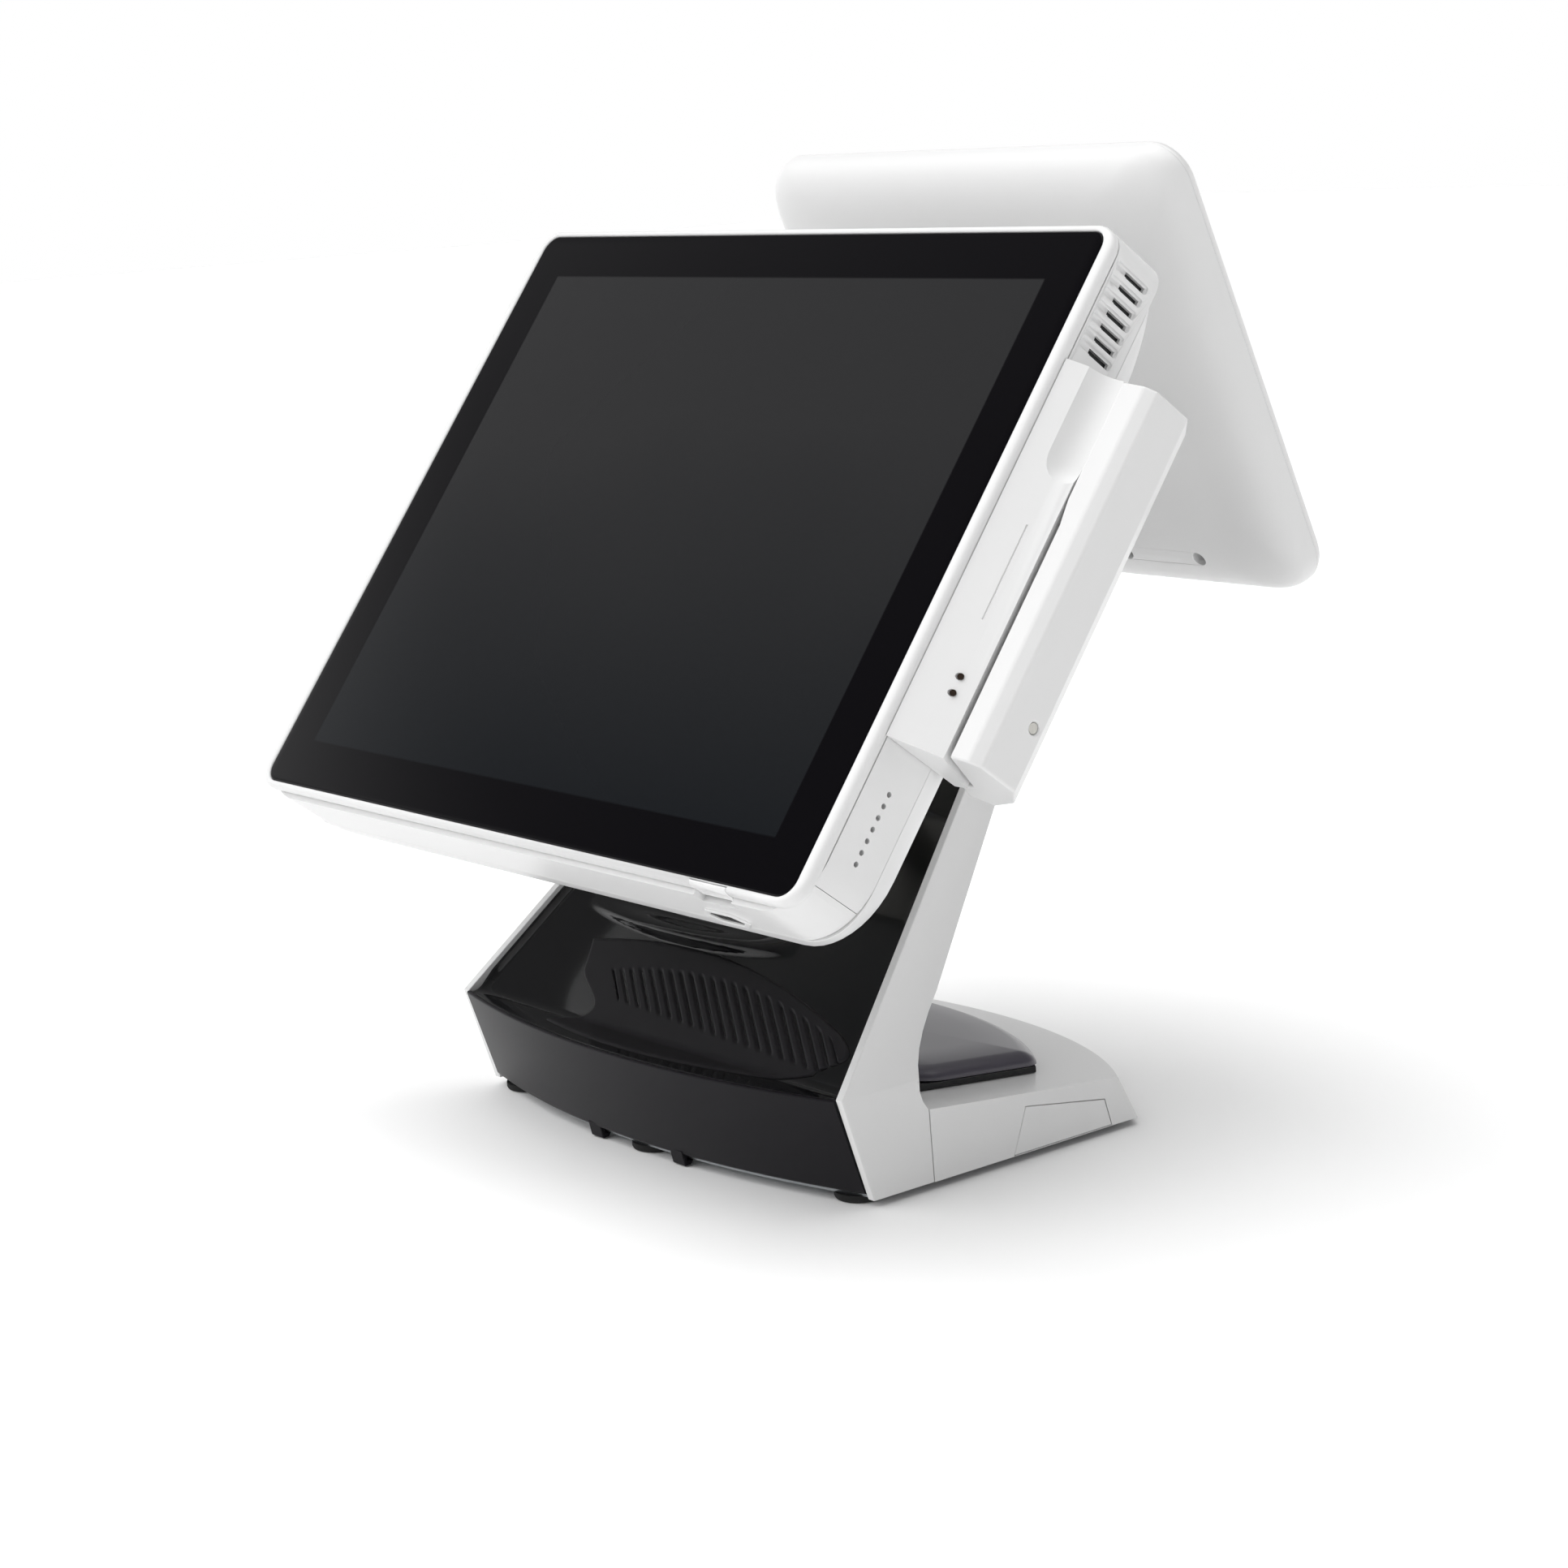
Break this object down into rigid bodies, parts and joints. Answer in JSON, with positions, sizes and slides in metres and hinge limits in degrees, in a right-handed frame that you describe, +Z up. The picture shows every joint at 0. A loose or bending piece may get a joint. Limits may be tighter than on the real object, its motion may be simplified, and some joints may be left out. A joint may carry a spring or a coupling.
{
  "type": "point of sale touchscreen terminal",
  "caption": "Countertop checkout terminal: Z-shaped stand, tilting touch display with a side card reader, and a second display at the back for the customer.",
  "frame": {"origin": "on the ground, at the centre of the front foot, in the stand's plane of symmetry", "axes": "+X is the user's right, +Y points away from the user, +Z is up"},
  "size_m": [0.388, 0.3361, 0.3844],
  "materials": {
    "white_abs": "fine satin moulded ABS",
    "gloss_black": "polished black ABS",
    "satin_black": "satin black ABS",
    "grey_cover": "satin grey ABS",
    "cover_glass": "black-bordered cover glass",
    "display_module": "display module",
    "rubber": "matt rubber",
    "galvanised_steel": "galvanised sheet steel",
    "zinc_plate": "zinc plated steel",
    "ground_steel": "ground steel",
    "spring_bronze": "rolled bronze",
    "aluminium": "extruded aluminium",
    "circuit_board": "green solder mask",
    "connector_shell": "tinned steel shells",
    "dark_parts": "dark moulded plastic",
    "lamp_lens": "clear coloured lens"
  },
  "bodies": {
    "stand": {"base_plate": "galvanised_steel", "rubber_feet": "rubber", "base_screws": "zinc_plate", "front_tabs": "satin_black", "front_band": "satin_black", "side_panel_left": "white_abs", "side_panel_right": "white_abs", "tray_cover": "gloss_black", "tray_inset": "satin_black", "neck_rear_cover": "white_abs", "neck_frame": "galvanised_steel", "hinge_bracket_left": "zinc_plate", "hinge_bracket_right": "zinc_plate", "friction_washers": "spring_bronze", "rear_deck": "white_abs", "io_panel": "galvanised_steel", "jack_sockets": "connector_shell", "serial_sockets": "connector_shell", "power_inlet": "connector_shell", "io_board": "circuit_board", "rear_arm_core": "galvanised_steel", "rear_arm_cover": "white_abs"},
    "head": {"bezel_frame": "white_abs", "touch_glass": "cover_glass", "lcd_module": "display_module", "chassis_plate": "galvanised_steel", "mainboard": "circuit_board", "heat_sink": "aluminium", "solid_state_drive": "dark_parts", "side_frame": "white_abs", "bottom_cover": "white_abs", "rear_housing": "white_abs", "vent_liner": "dark_parts", "speaker": "dark_parts", "window_grille": "dark_parts", "button_board": "circuit_board", "head_leaf": "zinc_plate", "leaf_screws": "zinc_plate", "hinge_shaft": "ground_steel", "reader_body": "white_abs", "reader_cap": "white_abs", "read_head": "ground_steel", "reader_board": "circuit_board", "reader_lamps": "lamp_lens", "reader_screw": "zinc_plate"},
    "power_button": {"power_button": "white_abs"},
    "cable_cover": {"cable_cover": "grey_cover", "cable_cover_skirt": "gloss_black"},
    "door_left": {"cable_door_left": "white_abs"},
    "door_right": {"cable_door_right": "white_abs"},
    "customer_display": {"rear_leaf": "zinc_plate", "rear_hinge_shaft": "ground_steel", "rear_back_cover": "white_abs", "rear_back_screws": "zinc_plate", "rear_bezel": "white_abs", "rear_glass": "cover_glass", "rear_lcd_module": "display_module", "rear_display_board": "circuit_board"}
  },
  "joints": [
    {"name": "head_tilt", "type": "hinge", "parent": "stand", "child": "head", "pos_m": [0, 0.06821, 0.19441], "axis": [1, 0, 0], "range_deg": [-20, 12]},
    {"name": "customer_display_tilt", "type": "hinge", "parent": "stand", "child": "customer_display", "pos_m": [0, 0.21154, 0.24704], "axis": [1, 0, 0], "range_deg": [-15, 12]},
    {"name": "power_button_press", "type": "slide", "parent": "head", "child": "power_button", "axis": [0, 0.7955, -0.606], "range_m": [0, 0.0012], "stiffness_N_per_m": 1500},
    {"name": "cable_cover_lift", "type": "slide", "parent": "stand", "child": "cable_cover", "axis": [0, 0, 1], "range_m": [0, 0.03]},
    {"name": "door_left_pull", "type": "slide", "parent": "stand", "child": "door_left", "axis": [-1, 0, 0], "range_m": [0, 0.018]},
    {"name": "door_right_pull", "type": "slide", "parent": "stand", "child": "door_right", "axis": [1, 0, 0], "range_m": [0, 0.018]}
  ]
}
